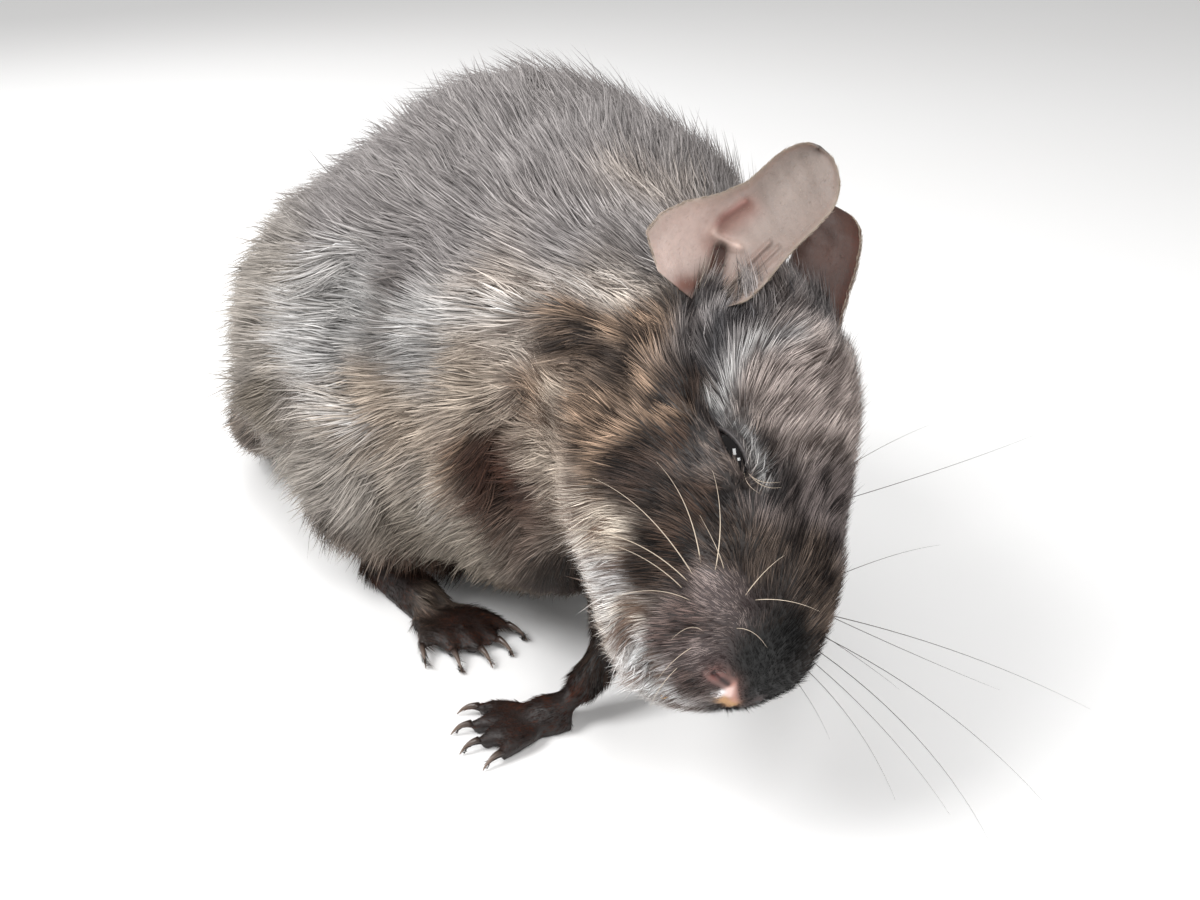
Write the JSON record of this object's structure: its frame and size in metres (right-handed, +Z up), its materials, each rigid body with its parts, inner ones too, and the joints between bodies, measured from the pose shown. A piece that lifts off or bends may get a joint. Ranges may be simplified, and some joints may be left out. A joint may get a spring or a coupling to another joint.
{
  "type": "degu, life-size still model",
  "caption": "Degu crouched on its feet with its back rounded, head bowed and turned, ears up and tufted tail laid in a curve behind.",
  "frame": {"origin": "under the middle of the whole animal, on the floor it rests on", "axes": "+Z up, the animal faces -Y, its left side is +X"},
  "size_m": [0.1158, 0.1834, 0.0802],
  "materials": {
    "coat_body": "grey-brown agouti fur",
    "coat_face": "dark brown agouti fur",
    "foot": "dark skin under thin hair",
    "ear": "thin taupe skin",
    "tail": "scaled skin under short hair",
    "brush": "long black hair",
    "eye": "wet black",
    "tooth": "smooth orange enamel"
  },
  "bodies": {
    "root": {"torso": "coat_body", "neck": "coat_body", "head": "coat_face", "incisors": "tooth", "foreleg_right": "coat_body", "forefoot_right": "foot", "thigh_right": "coat_body", "foreleg_left": "coat_body", "forefoot_left": "foot", "thigh_left": "coat_body", "hindfoot_right": "foot", "hindfoot_left": "foot", "tail_root": "tail", "tail_middle": "tail", "tail_end": "brush", "eye_right": "eye", "eye_left": "eye", "ear_right": "ear", "ear_left": "ear"}
  },
  "joints": []
}
